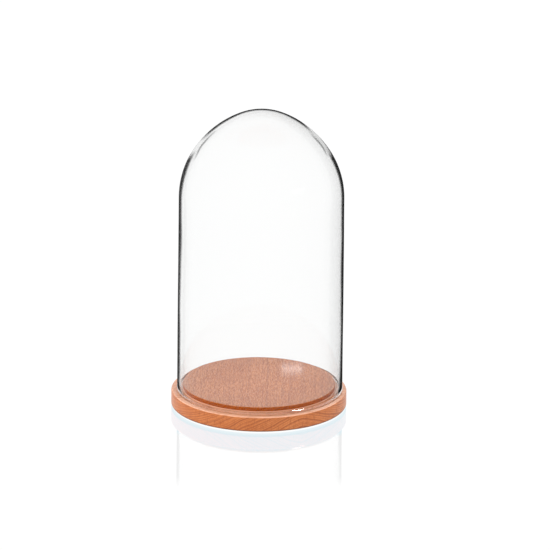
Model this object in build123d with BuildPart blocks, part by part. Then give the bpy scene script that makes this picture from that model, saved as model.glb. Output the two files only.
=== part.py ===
"""Bell jar dome: a blown glass cover that stands on a turned wooden base with felt pads.

Millimetres, +Z up. The origin is on the table, in the middle of the base. The viewer's side is -Y.
"""

import math
import os

from build123d import *

# Felt pads under the base
PAD_COUNT = 4
PAD_DIAMETER = 14.0
PAD_THICKNESS = 2.0
PAD_CIRCLE_RADIUS = 66.0
PAD_FIRST_ANGLE = 45.0
PAD_EDGE_ROUND = 0.4

# Turned wooden base: a 22 mm board with a ledge cut round a raised plateau
BASE_DIAMETER = 175.0
BOARD_THICKNESS = 22.0
PLATEAU_DIAMETER = 152.0
PLATEAU_HEIGHT = 7.0
RIM_TOP_ROUND = 1.4
RIM_BOTTOM_ROUND = 1.0
PLATEAU_EDGE_ROUND = 0.7

# Blown glass dome: a straight wall, then three arcs that run smoothly into each other
GLASS_DIAMETER = 165.2
GLASS_HEIGHT = 292.0
WALL_THICKNESS = 2.5
SHOULDER_ARC_RADIUS = 86.0
SHOULDER_ARC_ANGLE = 33.5
FLANK_ARC_RADIUS = 105.0
FLANK_ARC_ANGLE = 31.0

# Fire-polished bead round the open foot of the glass
BEAD_HEIGHT = 4.8
BEAD_THICKNESS = 4.4
BEAD_OUTWARD = 0.4
BEAD_ROUND = 1.5
BEAD_HOLLOW_RADIUS = 1.0

# Room round a place when corners are picked by where they are
SELECT_MARGIN = 0.1

# Heights and radii that follow
BASE_BOTTOM = PAD_THICKNESS
LEDGE_HEIGHT = BASE_BOTTOM + BOARD_THICKNESS - PLATEAU_HEIGHT
PLATEAU_TOP = BASE_BOTTOM + BOARD_THICKNESS
BASE_RADIUS = BASE_DIAMETER / 2
PLATEAU_RADIUS = PLATEAU_DIAMETER / 2
GLASS_RADIUS = GLASS_DIAMETER / 2
BORE_RADIUS = GLASS_RADIUS - WALL_THICKNESS
BEAD_TOP = LEDGE_HEIGHT + BEAD_HEIGHT
BEAD_MIDDLE = LEDGE_HEIGHT + BEAD_HEIGHT / 2
BEAD_MIDDLE_RADIUS = GLASS_RADIUS + BEAD_OUTWARD - BEAD_THICKNESS / 2

# The cap arc closes the dome: its radius is what brings the third arc level on the axis
shoulder_end = math.radians(SHOULDER_ARC_ANGLE)
flank_end = math.radians(SHOULDER_ARC_ANGLE + FLANK_ARC_ANGLE)
shoulder_run = SHOULDER_ARC_RADIUS * (1 - math.cos(shoulder_end))
flank_run = FLANK_ARC_RADIUS * (math.cos(shoulder_end) - math.cos(flank_end))
CAP_ARC_RADIUS = (GLASS_RADIUS - shoulder_run - flank_run) / math.cos(flank_end)
CAP_ARC_ANGLE = 90 - SHOULDER_ARC_ANGLE - FLANK_ARC_ANGLE
shoulder_rise = SHOULDER_ARC_RADIUS * math.sin(shoulder_end)
flank_rise = FLANK_ARC_RADIUS * (math.sin(flank_end) - math.sin(shoulder_end))
cap_rise = CAP_ARC_RADIUS * (1 - math.sin(flank_end))
SHOULDER_HEIGHT = LEDGE_HEIGHT + GLASS_HEIGHT - shoulder_rise - flank_rise - cap_rise


def dome_surface(depth):
    """Draw one face of the glass in section, up from the bead, and return where it crosses the axis."""
    radius = GLASS_RADIUS - depth
    wall = Line((radius, BEAD_MIDDLE), (radius, SHOULDER_HEIGHT))
    shoulder = JernArc(wall @ 1, wall % 1, SHOULDER_ARC_RADIUS - depth, SHOULDER_ARC_ANGLE)
    flank = JernArc(shoulder @ 1, shoulder % 1, FLANK_ARC_RADIUS - depth, FLANK_ARC_ANGLE)
    cap = JernArc(flank @ 1, flank % 1, CAP_ARC_RADIUS - depth, CAP_ARC_ANGLE)
    return cap @ 1


os.makedirs("parts", exist_ok=True)

# Wooden base
with BuildPart() as wooden_base:
    with BuildSketch(Plane.XY.offset(BASE_BOTTOM)):
        Circle(BASE_RADIUS)
    extrude(amount=LEDGE_HEIGHT - BASE_BOTTOM)
    with BuildSketch(Plane.XY.offset(LEDGE_HEIGHT)):
        Circle(PLATEAU_RADIUS)
    extrude(amount=PLATEAU_HEIGHT)
    rim_edges = wooden_base.edges().filter_by(GeomType.CIRCLE).group_by(SortBy.RADIUS)[-1]
    fillet(rim_edges.sort_by(Axis.Z)[-1], RIM_TOP_ROUND)
    fillet(wooden_base.faces().sort_by(Axis.Z)[0].edges(), RIM_BOTTOM_ROUND)
    fillet(wooden_base.faces().sort_by(Axis.Z)[-1].edges(), PLATEAU_EDGE_ROUND)
wooden_base.part.label = "wooden_base"
export_step(wooden_base.part, "parts/wooden_base.step")

# Glass dome
with BuildPart() as glass_dome:
    with BuildSketch(Plane.XZ) as glass_section:
        with BuildLine():
            outer_crown = dome_surface(0)
            inner_crown = dome_surface(WALL_THICKNESS)
            Line(outer_crown, inner_crown)
            Line((BORE_RADIUS, BEAD_MIDDLE), (GLASS_RADIUS, BEAD_MIDDLE))
        make_face()
        with Locations((BEAD_MIDDLE_RADIUS, BEAD_MIDDLE)):
            RectangleRounded(BEAD_THICKNESS, BEAD_HEIGHT, BEAD_ROUND)
        bead_shoulders = glass_section.vertices().filter_by_position(
            Axis.Y, BEAD_TOP - BEAD_ROUND, BEAD_TOP + SELECT_MARGIN
        )
        wall_foot = bead_shoulders.filter_by_position(
            Axis.X, BORE_RADIUS - SELECT_MARGIN, GLASS_RADIUS + SELECT_MARGIN
        )
        fillet(wall_foot, BEAD_HOLLOW_RADIUS)
    revolve(axis=Axis.Z)
glass_dome.part.label = "glass_dome"
export_step(glass_dome.part, "parts/glass_dome.step")

# Felt pads
pad_places = PolarLocations(PAD_CIRCLE_RADIUS, PAD_COUNT, start_angle=PAD_FIRST_ANGLE)
for number, place in enumerate(pad_places, start=1):
    with BuildPart() as felt_pad:
        with BuildSketch():
            with Locations(place):
                Circle(PAD_DIAMETER / 2)
        extrude(amount=PAD_THICKNESS)
        fillet(felt_pad.faces().sort_by(Axis.Z)[0].edges(), PAD_EDGE_ROUND)
    felt_pad.part.label = f"felt_pad_{number}"
    export_step(felt_pad.part, f"parts/felt_pad_{number}.step")
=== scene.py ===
"""Looks of the bell jar dome: blown glass, turned beech base and felt pads, in a white studio.

Metres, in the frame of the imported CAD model: +Z up, the viewer on the -Y side. Colours are linear.
"""

import math

import bpy
from mathutils import Matrix, Vector, noise


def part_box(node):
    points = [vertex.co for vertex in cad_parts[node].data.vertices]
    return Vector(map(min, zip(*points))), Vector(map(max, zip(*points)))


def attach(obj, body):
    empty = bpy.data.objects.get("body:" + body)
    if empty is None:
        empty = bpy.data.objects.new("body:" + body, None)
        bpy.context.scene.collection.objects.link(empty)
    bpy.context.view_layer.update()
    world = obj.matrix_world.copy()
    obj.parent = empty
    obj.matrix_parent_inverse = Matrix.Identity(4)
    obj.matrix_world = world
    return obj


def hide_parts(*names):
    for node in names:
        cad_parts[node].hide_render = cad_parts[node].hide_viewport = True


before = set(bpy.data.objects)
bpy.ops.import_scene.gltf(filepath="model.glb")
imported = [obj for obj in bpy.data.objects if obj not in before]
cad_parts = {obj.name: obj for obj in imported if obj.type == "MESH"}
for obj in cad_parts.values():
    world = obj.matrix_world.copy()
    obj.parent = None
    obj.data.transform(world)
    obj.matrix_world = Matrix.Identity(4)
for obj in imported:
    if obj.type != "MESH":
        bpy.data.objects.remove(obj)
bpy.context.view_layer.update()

MM = 0.001
BASE_LOW, BASE_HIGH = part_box("wooden_base")
GLASS_LOW, GLASS_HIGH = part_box("glass_dome")
PLATEAU_RADIUS = 76.0 * MM
WHITE = (1, 1, 1, 1)


# ---------------------------------------------------------------- shapes

def arc(centre, radius, start, end, steps):
    """Points on an arc in a profile, (distance from the axis, height), angles in degrees from outward."""
    points = []
    for i in range(steps + 1):
        angle = math.radians(start + (end - start) * i / steps)
        points.append((centre[0] + radius * math.cos(angle), centre[1] + radius * math.sin(angle)))
    return points


def line(start, end, steps):
    """Points along a straight stretch of a profile, without its two ends."""
    return [
        (start[0] + (end[0] - start[0]) * i / steps, start[1] + (end[1] - start[1]) * i / steps)
        for i in range(1, steps)
    ]


def bent(start, heading, end, arrival, steps):
    """A smooth bend from one point and direction to another, without its two ends.

    The longer a direction is, the further the bend follows it.
    """
    points = []
    for i in range(1, steps):
        t = i / steps
        leave, arrive = t ** 3 - 2 * t ** 2 + t, t ** 3 - t ** 2
        weights = (2 * t ** 3 - 3 * t ** 2 + 1, leave, 3 * t ** 2 - 2 * t ** 3, arrive)
        parts = list(zip(weights, (start, heading, end, arrival)))
        points.append(tuple(sum(weight * part[k] for weight, part in parts) for k in (0, 1)))
    return points


def lathe(name, profile, segments, shift=None, slots=None, centre=(0.0, 0.0)):
    """A body of revolution from a profile that starts and ends on the axis.

    shift moves each point of the surface, and slots gives the material slot of each row of faces.
    """
    vertices, faces, materials, rings = [], [], [], []
    for radius, height in profile:
        count = 1 if radius < 1e-7 else segments
        rings.append(list(range(len(vertices), len(vertices) + count)))
        for i in range(count):
            angle = 2 * math.pi * i / segments
            vertices.append(Vector((radius * math.cos(angle), radius * math.sin(angle), height)))
    for row, (low, high) in enumerate(zip(rings, rings[1:])):
        for i in range(segments):
            j = (i + 1) % segments
            if len(low) == 1:
                faces.append((low[0], high[j], high[i]))
            elif len(high) == 1:
                faces.append((low[i], low[j], high[0]))
            else:
                faces.append((low[i], low[j], high[j], high[i]))
            materials.append(slots[row] if slots else 0)
    if shift is not None:
        vertices = [shift(v) for v in vertices]
    mesh = bpy.data.meshes.new(name)
    mesh.from_pydata([(v.x + centre[0], v.y + centre[1], v.z) for v in vertices], [], faces)
    mesh.polygons.foreach_set("use_smooth", [True] * len(faces))
    mesh.polygons.foreach_set("material_index", materials)
    mesh.update()
    piece = bpy.data.objects.new(name, mesh)
    bpy.context.scene.collection.objects.link(piece)
    return piece


def register(piece, body, node):
    """Tell the frame which body the piece rides on, and hide the CAD node that it takes the place of."""
    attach(piece, body)
    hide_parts(node)


# ---------------------------------------------------------------- shader nodes

class Nodes:
    """A material, and a short way to add and link its shader nodes."""

    def __init__(self, name):
        self.material = bpy.data.materials.new(name)
        self.material.use_nodes = True
        self.tree = self.material.node_tree
        self.tree.nodes.clear()

    def add(self, kind, inputs=None, **settings):
        """A node. Each input, by name or number, is a value, a socket or a node."""
        node = self.tree.nodes.new(kind)
        for key, value in settings.items():
            setattr(node, key, value)
        for key, value in (inputs or {}).items():
            self.feed(node.inputs[key], value)
        return node

    def feed(self, socket, value):
        if isinstance(value, bpy.types.NodeSocket):
            self.tree.links.new(value, socket)
        elif isinstance(value, bpy.types.Node):
            self.tree.links.new(value.outputs[0], socket)
        else:
            socket.default_value = value

    def place(self):
        """The point's place on its piece, in metres."""
        return self.add("ShaderNodeTexCoord").outputs["Object"]

    def split(self, vector):
        """The three parts of a vector."""
        return self.add("ShaderNodeSeparateXYZ", {0: vector}).outputs

    def maths(self, operation, *values, clamp=False):
        inputs = dict(enumerate(values))
        return self.add("ShaderNodeMath", inputs, operation=operation, use_clamp=clamp).outputs[0]

    def product(self, first, second):
        return self.maths("MULTIPLY", first, second)

    def distance(self, first, second):
        """The length of the long side of a right triangle."""
        squares = [self.maths("POWER", value, 2.0) for value in (first, second)]
        return self.maths("SQRT", self.maths("ADD", *squares))

    def vector(self, operation, first, second):
        return self.add("ShaderNodeVectorMath", {0: first, 1: second}, operation=operation).outputs[0]

    def noise(self, place, scale=1.0, detail=2.0, roughness=0.5):
        """Smooth noise in space: a node whose first output is a level and whose second is a colour."""
        inputs = {"Vector": place, "Scale": scale, "Detail": detail, "Roughness": roughness}
        return self.add("ShaderNodeTexNoise", inputs)

    def noise_along(self, value, detail):
        """Smooth noise that changes with one value."""
        inputs = {"W": value, "Scale": 1.0, "Detail": detail}
        return self.add("ShaderNodeTexNoise", inputs, noise_dimensions="1D").outputs[0]

    def cells(self, place, scale=1.0):
        """Distance from the nearest of many scattered points."""
        inputs = {"Vector": place, "Scale": scale, "Randomness": 1.0}
        return self.add("ShaderNodeTexVoronoi", inputs).outputs["Distance"]

    def ramp(self, value, *stops):
        """Colours between stops, each (place from 0 to 1, colour)."""
        node = self.add("ShaderNodeValToRGB", {0: value})
        elements = node.color_ramp.elements
        while len(elements) < len(stops):
            elements.new(0.5)
        for element, (place, colour) in zip(elements, stops):
            element.position = place
            element.color = (*colour, 1)
        return node.outputs[0]

    def curve(self, value, *stops):
        """Levels between stops, each (place from 0 to 1, level)."""
        return self.ramp(value, *((place, (level,) * 3) for place, level in stops))

    def along(self, length, full, *stops):
        """Levels along a length, each stop (length, level), none of them past full."""
        shares = ((at / full, level) for at, level in stops)
        return self.curve(self.maths("DIVIDE", length, full), *shares)

    def mix(self, factor, first, second, blend="MIX"):
        inputs = {"Factor": factor, "A": first, "B": second}
        node = self.add("ShaderNodeMix", inputs, data_type="RGBA", blend_type=blend, clamp_factor=True)
        return node.outputs["Result"]

    def tinted(self, colour, tint):
        return self.mix(1.0, colour, tint, "MULTIPLY")

    def aslant(self):
        """0 where the surface is seen straight on, 1 where it is seen edge on."""
        return self.add("ShaderNodeLayerWeight", {"Blend": 0.5}).outputs["Facing"]

    def from_behind(self):
        """1 where the surface is seen from its back."""
        return self.add("ShaderNodeNewGeometry").outputs["Backfacing"]

    def finish(self, shader):
        self.add("ShaderNodeOutputMaterial", {"Surface": shader})
        return self.material


# ---------------------------------------------------------------- beech

EARLY_WOOD_DARK, EARLY_WOOD_LIGHT = (0.56, 0.150, 0.034, 1), (0.68, 0.215, 0.060, 1)
LATE_WOOD = (0.30, 0.060, 0.014, 1)
PALE_FIBRE = (0.92, 0.40, 0.155, 1)
RAY = (0.30, 0.070, 0.018, 1)
PORE = (0.25, 0.055, 0.014, 1)
SPECK = (0.055, 0.022, 0.012, 1)
# painted light: a cooler tint for the level faces
TOP_LIGHT_TINT = (0.93, 0.955, 1.03, 1)
# painted shade for the plateau's side under its edge
EDGE_SHADE = (0.83, 0.59, 0.24, 1)
FOOT_SHADE = (0.10, 0.035, 0.014, 1)
# painted highlight on the ledge and low on the plateau's side
PAINTED_HIGHLIGHT = (1.0, 0.54, 0.35, 1)

# the growth rings are planes, tented over a ridge to the right of the axis (millimetres and degrees)
RIDGE_ACROSS, RIDGE_ROUND = 44.0, 5.0
RING_SLOPE, RING_WIDTH = 27.0, 2.3
GRAIN_BEND = 9.0


def bent_grain(n, millimetres):
    """Slow bends of the grain, so that no growth ring is a true plane."""
    bend = n.noise(n.vector("MULTIPLY", millimetres, (0.022, 0.006, 0.022))).outputs["Color"]
    centred = n.vector("SUBTRACT", bend, (0.5, 0.5, 0.5))
    return n.vector("ADD", millimetres, n.vector("MULTIPLY", centred, (GRAIN_BEND, 0.0, GRAIN_BEND)))


def ring_depth(n, across, up):
    """Distance through the growth rings, which rise to the ridge and fall away on its far side."""
    from_ridge = n.distance(n.maths("SUBTRACT", across, RIDGE_ACROSS), RIDGE_ROUND)
    slope = math.radians(RING_SLOPE)
    return n.maths("ADD", n.product(up, math.cos(slope)), n.product(from_ridge, math.sin(slope)))


def late_wood(n, depth):
    """A thin darker line at the end of each growth ring, stronger in some years."""
    uneven = n.product(n.noise_along(n.product(depth, 0.16), 1.0), 2.6)
    year = n.maths("ADD", n.product(depth, 1 / RING_WIDTH), uneven)
    late = n.curve(n.maths("FRACT", year),
                   (0.0, 0.50), (0.12, 0.0), (0.45, 0.15), (0.80, 0.70), (0.95, 1.0), (1.0, 0.50))
    strength = n.noise_along(n.product(depth, 0.35), 0.0)
    return n.product(late, n.curve(strength, (0.3, 0.35), (0.7, 1.0)))


def ray_flecks(n, depth, across, along):
    """Rays: thin ribbons across the rings, short dashes on a flat-sawn face."""
    place = n.add("ShaderNodeCombineXYZ", {
        0: n.product(depth, 0.10), 1: n.product(across, 0.85), 2: n.product(along, 0.26),
    })
    return n.curve(n.cells(place), (0.0, 1.0), (0.18, 0.8), (0.34, 0.0))


def paint_shade_and_highlights(n, millimetres, surface, bare):
    """Painted shade and highlights by place, over the surface's colour and the bare wood's.

    Returns the colour, how much painted highlight each point of the ledge has, and where the plateau's side
    is.
    """
    across, along, up = n.split(millimetres)
    radius = n.distance(across, along)
    bottom, ledge, top = BASE_LOW.z / MM, GLASS_LOW.z / MM, BASE_HIGH.z / MM
    plateau = PLATEAU_RADIUS / MM
    height_range, radius_range, flank_range = 30.0, 100.0, 90.0
    side = n.product(n.maths("GREATER_THAN", radius, plateau - 0.6),
                     n.maths("LESS_THAN", radius, plateau + 0.45))

    # painted shade: the plateau's side is darkened just under its edge
    painted_shade_under_edge = n.along(up, height_range,
                         (top - 4.35, 0.0), (top - 3.84, 1.0), (top - 0.6, 1.0), (top - 0.09, 0.0))
    edge_shaded = n.mix(n.product(side, painted_shade_under_edge), surface, n.tinted(bare, EDGE_SHADE))

    # painted shade: a thin dark line at the bottom of the rim
    painted_foot_shade = n.along(up, height_range, (bottom + 0.1, 1.0), (bottom + 1.0, 0.75), (bottom + 1.9, 0.0))
    foot_shaded = n.mix(n.product(painted_foot_shade, 0.75), edge_shaded, FOOT_SHADE)

    # painted highlight: paler wood low on the plateau's side with a light line, and in streaky smears on the
    # ledge, for its bright edge and the bead's glints
    painted_light_line = n.product(side, n.along(up, height_range, (ledge - 0.2, 0.45), (ledge + 1.6, 0.45),
                                    (ledge + 2.2, 1.0), (ledge + 2.68, 1.0), (ledge + 3.1, 0.0)))
    ledge_highlight = n.product(
        n.along(radius, radius_range, (plateau + 0.5, 0.0), (plateau + 1.2, 0.45), (plateau + 6.5, 0.45),
                (plateau + 9.0, 1.0)),
        n.along(up, height_range, (ledge - 0.5, 0.0), (ledge - 0.17, 1.0)))
    flanks = n.along(n.maths("ABSOLUTE", across), flank_range, (72.0, 1.0), (85.5, 0.30))
    smears = n.noise(n.vector("MULTIPLY", millimetres, (0.07, 0.45, 0.0)))
    ledge_highlight = n.product(n.product(ledge_highlight, flanks), n.curve(smears, (0.38, 0.55), (0.56, 1.60)))
    shaded_and_highlit = n.mix(n.maths("MAXIMUM", ledge_highlight, painted_light_line), foot_shaded, PAINTED_HIGHLIGHT)
    return shaded_and_highlit, ledge_highlight, side


def beech():
    """Red-stained beech: tented growth rings, ray flecks, pores, a few dark specks and a satin lacquer, with
    painted light and shade.
    """
    n = Nodes("beech")
    millimetres = n.vector("MULTIPLY", n.place(), (1 / MM,) * 3)
    grain = bent_grain(n, millimetres)
    across, along, up = n.split(grain)
    depth = ring_depth(n, across, up)
    late = late_wood(n, depth)
    rays = ray_flecks(n, depth, across, along)

    # how level the surface is: 1 on the ledge and the plateau, 0 on the rim and the plateau's side
    normal_up = n.split(n.add("ShaderNodeTexCoord").outputs["Normal"])[2]
    level = n.maths("ABSOLUTE", normal_up)
    on_top = n.curve(level, (0.3, 0.38), (0.8, 1.0))

    # pores and pale fibres: fine short streaks along the grain
    pores = n.noise(n.vector("MULTIPLY", grain, (1.05, 0.13, 1.05)), detail=3.0, roughness=0.65)
    pore_lines = n.curve(pores, (0.30, 1.0), (0.42, 0.5), (0.52, 0.0))
    pale_lines = n.curve(pores, (0.50, 0.0), (0.60, 0.5), (0.72, 1.0))
    specks = n.curve(n.cells(millimetres, 0.045), (0.0, 1.0), (0.028, 0.9), (0.045, 0.0))
    cloud = n.noise(n.vector("MULTIPLY", millimetres, (0.040, 0.013, 0.040)), detail=4.0, roughness=0.6)

    colour = n.mix(n.curve(cloud, (0.3, 0.0), (0.7, 1.0)), EARLY_WOOD_DARK, EARLY_WOOD_LIGHT)
    colour = n.mix(n.product(late, n.curve(level, (0.3, 1.0), (0.8, 0.45))), colour, LATE_WOOD)
    colour = n.mix(n.product(n.product(pale_lines, on_top), 0.55), colour, PALE_FIBRE)
    colour = n.mix(n.product(rays, 0.60), colour, RAY)
    colour = n.mix(n.product(n.product(pore_lines, on_top), 0.45), colour, PORE)
    colour = n.mix(n.product(specks, 0.85), colour, SPECK)
    # painted light: the level faces are tinted cooler than the sides
    painted_top_tint = n.mix(on_top, colour, n.tinted(colour, TOP_LIGHT_TINT))
    shaded_and_highlit, ledge_highlight, side = paint_shade_and_highlights(n, millimetres, painted_top_tint, colour)

    # the lacquer is thick on the level faces, and rubbed to a shine on the ledge; the plateau's side is bare
    lacquer = n.maths("SUBTRACT", 1.0, side)
    coat = n.product(lacquer, n.curve(level, (0.3, 0.30), (0.8, 0.72)))
    relief = n.maths("ADD", n.product(pore_lines, -0.6), n.product(rays, -0.4))
    return n.finish(n.add("ShaderNodeBsdfPrincipled", {
        "Base Color": shaded_and_highlit,
        "Roughness": n.curve(pores, (0.3, 0.55), (0.7, 0.42)),
        "Normal": n.add("ShaderNodeBump", {"Height": relief, "Strength": 0.25, "Distance": 0.05 * MM}),
        "Coat Weight": n.maths("MAXIMUM", coat, ledge_highlight),
        "Coat Roughness": 0.12,
        "Coat IOR": 1.5,
        "Specular IOR Level": n.product(lacquer, n.curve(level, (0.3, 0.20), (0.8, 0.25))),
    }))


# ---------------------------------------------------------------- glass and felt

# lower than real glass, so that the white room's reflection doesn't veil the wood behind the glass
WALL_IOR = 1.2
BEAD_IOR = 1.3
COAT_IOR = 1.5
CLEAR = (0.995, 0.997, 0.996, 1)


def bead_glass():
    """The rolled bead: clear glass with a bright polish, and painted shade that darkens it a little where it
    is seen edge on.
    """
    n = Nodes("clear_glass_foot")
    # painted shade: darker where the bead is seen edge on
    edge = n.curve(n.aslant(), (0.0, 0.99), (0.45, 0.97), (0.75, 0.80), (1.0, 0.45))
    return n.finish(n.add("ShaderNodeBsdfPrincipled", {
        "Base Color": n.mix(n.from_behind(), edge, WHITE),
        "Roughness": 0.0,
        "IOR": BEAD_IOR,
        "Transmission Weight": 1.0,
        "Coat Weight": 1.0,
        "Coat Roughness": 0.06,
        "Coat IOR": COAT_IOR,
    }))


def clear_glass(name, ior):
    """Clear glass, for the faces that show no edge line."""
    n = Nodes(name)
    return n.finish(n.add("ShaderNodeBsdfGlass", {"Roughness": 0.0, "IOR": ior, "Color": CLEAR}))


def wall_glass():
    """The outer face of the wall. Its colour is painted shade that darkens it towards its outline by how edge
    on it is seen, in place of the darker room that a thick wall shows there.
    """
    n = Nodes("clear_glass")
    place = n.place()
    across, _, up = n.split(place)
    facing = n.aslant()
    glass_height = GLASS_HIGH.z - GLASS_LOW.z

    # painted shade: the dark line at the wall's edge wanders with noise, as on a wall that is not quite even,
    # and swells below the shoulder
    uneven = n.maths("SUBTRACT", n.noise(place, scale=17.0, detail=1.0), 0.5)
    share = n.maths("DIVIDE", n.maths("SUBTRACT", up, GLASS_LOW.z), glass_height)
    swell = n.curve(share, (0.66, 0.0), (0.80, 1.0), (0.86, 1.0), (0.885, 0.0))
    seen = n.maths("ADD", n.maths("ADD", facing, n.product(uneven, 0.11)), n.product(swell, 0.045))
    painted_edge_shade = n.curve(seen, (0.712, 1.00), (0.738, 0.87), (0.760, 0.56), (0.783, 0.25), (0.806, 0.11),
                        (0.835, 0.060), (0.880, 0.05), (0.940, 0.07), (1.000, 0.25))
    # painted shade: the dark line is stronger on the right
    from_left = n.maths("ADD", n.maths("DIVIDE", across, GLASS_HIGH.x * 2), 0.5)
    right_side = n.curve(from_left, (0.35, 0.0), (0.65, 1.0))
    painted_edge_shade = n.maths("POWER", painted_edge_shade, n.maths("ADD", 1.0, n.product(right_side, 0.22)))

    # at the shoulder the painted dark line gives way to two faint thin painted ones
    rise = n.maths("ADD", up, n.product(uneven, 0.050))
    wandering_share = n.maths("DIVIDE", n.maths("SUBTRACT", rise, GLASS_LOW.z), glass_height)
    shoulder = n.curve(wandering_share, (0.850, 0.0), (0.872, 1.0), (0.905, 1.0), (0.935, 0.0))
    painted_thin_lines = n.curve(seen, (0.630, 1.00), (0.660, 0.45), (0.690, 0.38), (0.715, 0.92), (0.900, 0.95),
                         (0.965, 0.72), (1.000, 0.82))

    # painted reflection: a faint grey veil inside the edge, wider on the right
    painted_veil_left = n.curve(facing, (0.0, 0.968), (0.46, 0.955), (0.58, 0.930), (0.62, 0.870), (0.66, 0.860),
                        (0.70, 0.900))
    painted_veil_right = n.curve(facing, (0.0, 0.968), (0.36, 0.950), (0.455, 0.925), (0.475, 0.900), (0.51, 0.870),
                         (0.60, 0.820), (0.68, 0.760), (0.72, 0.70))
    painted_veil = n.mix(right_side, painted_veil_left, painted_veil_right)
    tint = n.tinted(painted_veil, n.mix(shoulder, painted_edge_shade, painted_thin_lines))
    colour = n.mix(n.from_behind(), tint, WHITE)
    return n.finish(n.add("ShaderNodeBsdfGlass", {"Roughness": 0.0, "IOR": WALL_IOR, "Color": colour}))


def felt():
    """Pressed wool felt: matted fibres, a soft fuzz towards the edges."""
    n = Nodes("felt")
    place = n.place()
    fibres = n.noise(place, scale=2600.0, detail=6.0, roughness=0.7)
    tufts = n.noise(place, scale=420.0, detail=3.0)
    colour = n.mix(fibres.outputs[0], (0.045, 0.028, 0.018, 1), (0.17, 0.115, 0.078, 1))
    return n.finish(n.add("ShaderNodeBsdfPrincipled", {
        "Base Color": n.mix(n.product(tufts, 0.5), colour, (0.09, 0.058, 0.038, 1)),
        "Roughness": 0.95,
        "Normal": n.add("ShaderNodeBump", {"Height": fibres, "Strength": 0.8, "Distance": 0.2 * MM}),
        "Sheen Weight": 0.5,
        "Sheen Roughness": 0.5,
    }))


# ---------------------------------------------------------------- wooden base

RIM_TOP_ROUND, RIM_BOTTOM_ROUND = 1.4 * MM, 1.0 * MM
PLATEAU_EDGE_ROUND, LEDGE_CORNER_ROUND = 0.7 * MM, 0.3 * MM


def make_base():
    bottom, ledge, top, radius = BASE_LOW.z, GLASS_LOW.z, BASE_HIGH.z, BASE_HIGH.x
    corner, edge = PLATEAU_RADIUS + LEDGE_CORNER_ROUND, PLATEAU_RADIUS - PLATEAU_EDGE_ROUND
    profile = [(0.0, bottom)]
    profile += [(radius * share, bottom) for share in (0.2, 0.4, 0.6, 0.8, 0.9, 0.97)]
    profile += arc((radius - RIM_BOTTOM_ROUND, bottom + RIM_BOTTOM_ROUND), RIM_BOTTOM_ROUND, -90, 0, 8)
    profile += line((radius, bottom + RIM_BOTTOM_ROUND), (radius, ledge - RIM_TOP_ROUND), 8)
    profile += arc((radius - RIM_TOP_ROUND, ledge - RIM_TOP_ROUND), RIM_TOP_ROUND, 0, 90, 10)
    profile += line((radius - RIM_TOP_ROUND, ledge), (corner, ledge), 6)
    profile += arc((corner, ledge + LEDGE_CORNER_ROUND), LEDGE_CORNER_ROUND, 270, 180, 5)
    side_bottom, side_top = ledge + LEDGE_CORNER_ROUND, top - PLATEAU_EDGE_ROUND
    profile += line((PLATEAU_RADIUS, side_bottom), (PLATEAU_RADIUS, side_top), 4)
    profile += arc((edge, top - PLATEAU_EDGE_ROUND), PLATEAU_EDGE_ROUND, 0, 90, 8)
    profile += [(PLATEAU_RADIUS * share, top) for share in (0.97, 0.9, 0.8, 0.6, 0.4, 0.2)]
    profile += [(0.0, top)]
    piece = lathe("turned_base", profile, 360)
    register(piece, "base", "wooden_base")
    piece.data.materials.append(beech())


# ---------------------------------------------------------------- glass dome

GLASS_WALL = 2.5 * MM
SHOULDER_RADIUS, SHOULDER_ANGLE = 86.0 * MM, 33.5
FLANK_RADIUS, FLANK_ANGLE = 105.0 * MM, 31.0

# how far the glass stands off the base's axis
OFF_CENTRE = 0.8 * MM

# the bead: how far it stands out and in from the wall, its height off the ledge and its rounds,
# and the height where each face of the wall begins
BEAD_OUT, BEAD_IN = 0.4 * MM, 0.45 * MM
BEAD_LIFT = 0.06 * MM
BEAD_EDGE_ROUND = 1.3 * MM
BEAD_INNER_HEIGHT, BEAD_CREST_HEIGHT = 2.6 * MM, 1.9 * MM
BEAD_CREST_ROUND, BEAD_CREST_TURN = 3.0 * MM, 34.0
WALL_FROM_OUTSIDE, WALL_FROM_INSIDE = 4.8 * MM, 5.0 * MM
TAPER_PULL_OUTSIDE, TAPER_PULL_INSIDE = 1.4 * MM, 1.5 * MM
FACE_STEPS = 48

# blown glass: slow and quick waves, which fade out towards the polished foot
SLOW_WAVE, QUICK_WAVE, WAVE_INWARD = 0.28 * MM, 0.06 * MM, 0.05 * MM
STILL_HEIGHT, FADE_HEIGHT = 6 * MM, 30 * MM
CROWN_DEPTH = 85 * MM

OUTER_WALL, INNER_WALL, OUTER_BEAD, INNER_BEAD = range(4)


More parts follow.
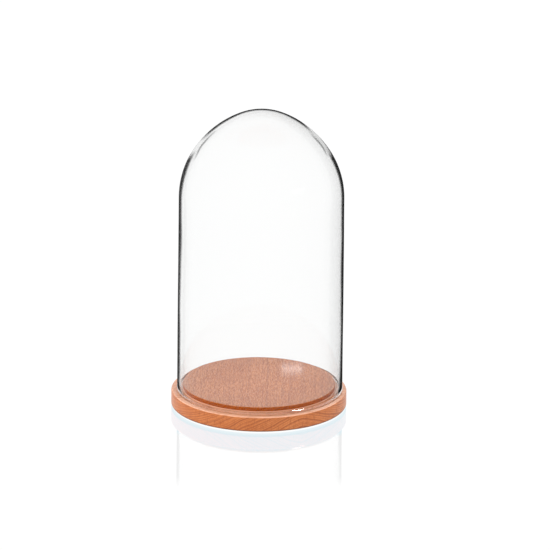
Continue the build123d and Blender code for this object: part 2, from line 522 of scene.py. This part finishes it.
def dome_face(radius, foot, crown, depth):
    """One face of the dome in section, from the foot up to the axis, depth into the wall."""
    turn_1, turn_2 = SHOULDER_ANGLE, SHOULDER_ANGLE + FLANK_ANGLE
    cos_1, cos_2 = math.cos(math.radians(turn_1)), math.cos(math.radians(turn_2))
    sin_1, sin_2 = math.sin(math.radians(turn_1)), math.sin(math.radians(turn_2))
    cap = (radius - SHOULDER_RADIUS * (1 - cos_1) - FLANK_RADIUS * (cos_1 - cos_2)) / cos_2
    rise = SHOULDER_RADIUS * sin_1 + FLANK_RADIUS * (sin_2 - sin_1) + cap * (1 - sin_2)
    shoulder = crown - rise
    steps = FACE_STEPS // 2
    points = line((radius - depth, foot), (radius - depth, shoulder), FACE_STEPS)
    centre = (radius - SHOULDER_RADIUS, shoulder)
    points += arc(centre, SHOULDER_RADIUS - depth, 0, turn_1, steps)
    centre = (centre[0] - (FLANK_RADIUS - SHOULDER_RADIUS) * cos_1,
              centre[1] - (FLANK_RADIUS - SHOULDER_RADIUS) * sin_1)
    points += arc(centre, FLANK_RADIUS - depth, turn_1, turn_2, steps)[1:]
    centre = (centre[0] + (FLANK_RADIUS - cap) * cos_2, centre[1] + (FLANK_RADIUS - cap) * sin_2)
    points += arc(centre, cap - depth, turn_2, 90, steps)[1:-1]
    points += [(0.0, crown - depth)]
    return points


def blown(point):
    """The slight waves of hand-blown glass, on a dome that stands a little off the axis."""
    point = point + Vector((OFF_CENTRE, 0, 0))
    fade = min(1.0, max(0.0, (point.z - GLASS_LOW.z - STILL_HEIGHT) / FADE_HEIGHT))
    slow = noise.noise(Vector((point.x * 15, point.y * 15, point.z * 9 + 3.0)))
    quick = noise.noise(Vector((point.x * 42 + 7, point.y * 42, point.z * 26)))
    amount = fade * (SLOW_WAVE * slow + QUICK_WAVE * quick)
    outward = Vector((point.x, point.y, max(0.0, point.z - GLASS_HIGH.z + CROWN_DEPTH)))
    if outward.length < 1e-6:
        return point
    return point + outward.normalized() * (amount - WAVE_INWARD)


def make_dome():
    bead_radius = GLASS_HIGH.x
    wall_radius = bead_radius - BEAD_OUT
    bead_inside = wall_radius - GLASS_WALL - BEAD_IN
    bottom = GLASS_LOW.z + BEAD_LIFT
    edge = BEAD_EDGE_ROUND
    outer = dome_face(wall_radius, GLASS_LOW.z + WALL_FROM_OUTSIDE, GLASS_HIGH.z, 0.0)
    inner = dome_face(wall_radius, GLASS_LOW.z + WALL_FROM_INSIDE, GLASS_HIGH.z, GLASS_WALL)

    down, up = (0.0, -TAPER_PULL_INSIDE), (0.0, TAPER_PULL_OUTSIDE)
    taper_inside = bent(inner[0], down, (bead_inside, bottom + BEAD_INNER_HEIGHT), down, 10)
    bead_in = [(bead_inside, bottom + BEAD_INNER_HEIGHT)]
    bead_in += arc((bead_inside + edge, bottom + edge), edge, 180, 270, 10)

    crest = (bead_radius - BEAD_CREST_ROUND, bottom + BEAD_CREST_HEIGHT)
    bead_out = arc((bead_radius - edge, bottom + edge), edge, 270, 360, 10)
    bead_out += line((bead_radius, bottom + edge), (bead_radius, crest[1]), 3)
    bead_out += arc(crest, BEAD_CREST_ROUND, 0, BEAD_CREST_TURN, 14)
    turn = math.radians(BEAD_CREST_TURN)
    lean = (-math.sin(turn) * TAPER_PULL_OUTSIDE, math.cos(turn) * TAPER_PULL_OUTSIDE)
    taper_outside = bent(bead_out[-1], lean, outer[0], up, 10)

    inside = list(reversed(inner)) + taper_inside
    slots = [INNER_WALL] * len(inside) + [INNER_BEAD] * len(bead_in)
    slots += [OUTER_BEAD] * (len(bead_out) - 1) + [OUTER_WALL] * (len(taper_outside) + len(outer))
    profile = inside + bead_in + bead_out + taper_outside + outer
    piece = lathe("blown_dome", profile, 288, shift=blown, slots=slots)
    register(piece, "dome", "glass_dome")
    piece.data.materials.append(wall_glass())
    piece.data.materials.append(clear_glass("clear_glass_inside", WALL_IOR))
    piece.data.materials.append(bead_glass())
    piece.data.materials.append(clear_glass("clear_glass_foot_inside", BEAD_IOR))
    piece.visible_shadow = False
    return piece


# ---------------------------------------------------------------- felt pads

PAD_EDGE_ROUND = 0.4 * MM
PAD_FUZZ = 0.12 * MM


def matted(radius, salt):
    """A shift that roughens the side of a pad, and leaves its two faces flat."""
    def shift(point):
        soft = noise.noise(Vector((point.x * 900 + salt, point.y * 900, point.z * 900)))
        side = Vector((point.x, point.y, 0))
        if side.length < radius * 0.9:
            return point
        return point + side.normalized() * (soft - 1) * PAD_FUZZ
    return shift


def make_pads():
    material = felt()
    edge = PAD_EDGE_ROUND
    for name in sorted(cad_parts):
        if not name.startswith("felt_pad"):
            continue
        low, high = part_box(name)
        middle = (low + high) / 2
        radius = (high.x - low.x) / 2
        profile = [(0.0, low.z)]
        profile += [(radius * i / 12, low.z) for i in range(1, 11)]
        profile += arc((radius - edge, low.z + edge), edge, -90, 0, 5)
        profile += line((radius, low.z + edge), (radius, high.z - edge / 2), 5)
        profile += arc((radius - edge / 2, high.z - edge / 2), edge / 2, 0, 90, 4)
        profile += [(0.0, high.z)]
        shift = matted(radius, salt=len(name) + ord(name[-1]))
        piece = lathe(name + "_felt", profile, 120, shift=shift, centre=(middle.x, middle.y))
        register(piece, "base", name)
        piece.data.materials.append(material)


# ---------------------------------------------------------------- studio

# the camera, in degrees and metres, far enough off to make the picture almost a parallel view
VIEW_ELEVATION = 19.1
VIEW_ROLL = 0.55
VIEW_DISTANCE = 20.0
VIEW_WIDTH = 548.4 * MM
VIEW_RIGHT_OF_AXIS = 15.0 * MM
VIEW_ABOVE_BASE = 127.8 * MM
SENSOR = 36.0

TABLE_HALF = 30.0
TABLE_GLOW = 1.035
MIRROR_ROUGHNESS = 0.06
MIRROR_COOL = (0.38, 0.205, 0.150)


def make_camera():
    elevation = math.radians(VIEW_ELEVATION)
    data = bpy.data.cameras.new("camera")
    data.sensor_width = SENSOR
    data.lens = SENSOR * VIEW_DISTANCE / VIEW_WIDTH
    data.clip_start, data.clip_end = 0.1, 100.0
    camera = bpy.data.objects.new("camera", data)
    bpy.context.scene.collection.objects.link(camera)
    target = Vector((VIEW_RIGHT_OF_AXIS, 0, BASE_LOW.z + VIEW_ABOVE_BASE / math.cos(elevation)))
    back = Vector((0, -math.cos(elevation), math.sin(elevation)))
    turn = (-back).to_track_quat("-Z", "Y").to_matrix().to_4x4()
    roll = Matrix.Rotation(math.radians(VIEW_ROLL), 4, "Z")
    camera.matrix_world = Matrix.Translation(target + back * VIEW_DISTANCE) @ turn @ roll
    bpy.context.scene.camera = camera


def make_table():
    """A white table that shines by itself, with a faint cool mirror round the base that fades outwards."""
    n = Nodes("white_table")
    across, along, _ = n.split(n.place())
    reach = BASE_HIGH.x * 4
    away = n.distance(across, along)
    wide = n.product(n.maths("POWER", across, 2.0), 1.9)
    oval = n.maths("SQRT", n.maths("ADD", wide, n.maths("POWER", along, 2.0)))
    near = n.curve(n.maths("DIVIDE", away, reach), (0.240, 0.0), (0.250, 1.0))
    far = n.ramp(n.maths("DIVIDE", oval, reach),
                 (0.385, MIRROR_COOL), (0.415, (0.20,) * 3), (0.680, (0.19,) * 3), (0.800, (0.0,) * 3))
    mirror = n.tinted(near, far)
    shine = n.mix(1.0, (TABLE_GLOW, TABLE_GLOW, TABLE_GLOW, 1), mirror, "SUBTRACT")
    glow = n.add("ShaderNodeEmission", {"Color": shine, "Strength": 1.0})
    gloss = n.add("ShaderNodeBsdfGlossy", {"Color": mirror, "Roughness": MIRROR_ROUGHNESS})
    mesh = bpy.data.meshes.new("white_table")
    corners = [(-1, -1), (1, -1), (1, 1), (-1, 1)]
    mesh.from_pydata([(x * TABLE_HALF, y * TABLE_HALF, 0) for x, y in corners], [], [(0, 1, 2, 3)])
    mesh.materials.append(n.finish(n.add("ShaderNodeAddShader", {0: glow, 1: gloss})))
    table = bpy.data.objects.new("white_table", mesh)
    bpy.context.scene.collection.objects.link(table)


def area_light(name, azimuth, elevation, distance, size, radiance, target, spread=180.0):
    """An area light aimed at target, hidden from the camera. Azimuth 0 is the viewer's side, 90 is +X.

    It counts only up to the first matt surface, so that the glass and the table can't throw it onto the wood.
    """
    data = bpy.data.lights.new(name, "AREA")
    data.shape = "RECTANGLE"
    data.size, data.size_y = size
    data.spread = math.radians(spread)
    data.energy = radiance * math.pi * size[0] * size[1]
    data.cycles.use_multiple_importance_sampling = False
    data.use_nodes = True
    nodes, links = data.node_tree.nodes, data.node_tree.links
    strength = nodes.new("ShaderNodeMath")
    strength.operation, strength.use_clamp = "SUBTRACT", True
    strength.inputs[0].default_value = 1.0
    links.new(nodes.new("ShaderNodeLightPath").outputs["Diffuse Depth"], strength.inputs[1])
    links.new(strength.outputs[0], nodes["Emission"].inputs["Strength"])
    light = bpy.data.objects.new(name, data)
    a, e = math.radians(azimuth), math.radians(elevation)
    out = Vector((math.sin(a) * math.cos(e), -math.cos(a) * math.cos(e), math.sin(e)))
    turn = (-out).to_track_quat("-Z", "Y").to_matrix().to_4x4()
    light.matrix_world = Matrix.Translation(Vector(target) + out * distance) @ turn
    light.visible_camera = False
    light.visible_transmission = False
    bpy.context.scene.collection.objects.link(light)
    return light


def make_lights(dome):
    world = bpy.data.worlds.new("white_studio")
    world.use_nodes = True
    background = world.node_tree.nodes["Background"]
    background.inputs["Color"].default_value = WHITE
    background.inputs["Strength"].default_value = 1.0
    bpy.context.scene.world = world

    # two lights that only show as reflections: one on the bead, and one on the lacquer of the plateau
    softbox = area_light("front_softbox", 58, 33, 0.5, (0.15, 0.21), 1.5, (0.04, -0.07, 0.02), spread=36.0)
    softbox.data.cycles.use_multiple_importance_sampling = True
    seen_in = bpy.data.collections.new("softbox_seen_in")
    seen_in.objects.link(dome)
    softbox.light_linking.receiver_collection = seen_in
    on_plateau = (0.034, 0.040, BASE_HIGH.z)
    patch = area_light("back_softbox", 180, VIEW_ELEVATION, 0.30, (0.022, 0.006), 0.0028, on_plateau,
                       spread=4.0)
    softbox.visible_diffuse = patch.visible_diffuse = False

    # two soft lights that only light the wood
    middle = (0.0, 0.0, 0.02)
    top = area_light("top_light", 0, 75, 1.5, (0.9, 0.9), 2.2, middle)
    key = area_light("side_light", -78, 4, 1.5, (0.9, 0.9), 3.6, middle)
    top.visible_glossy = key.visible_glossy = False


def set_view():
    """Plain colours, and enough bounces for light to pass both walls of the glass."""
    scene = bpy.context.scene
    scene.view_settings.view_transform = "Standard"
    scene.cycles.max_bounces = 24
    scene.cycles.glossy_bounces = 16
    scene.cycles.transmission_bounces = 24


make_base()
dome = make_dome()
make_pads()
make_table()
make_lights(dome)
make_camera()
set_view()
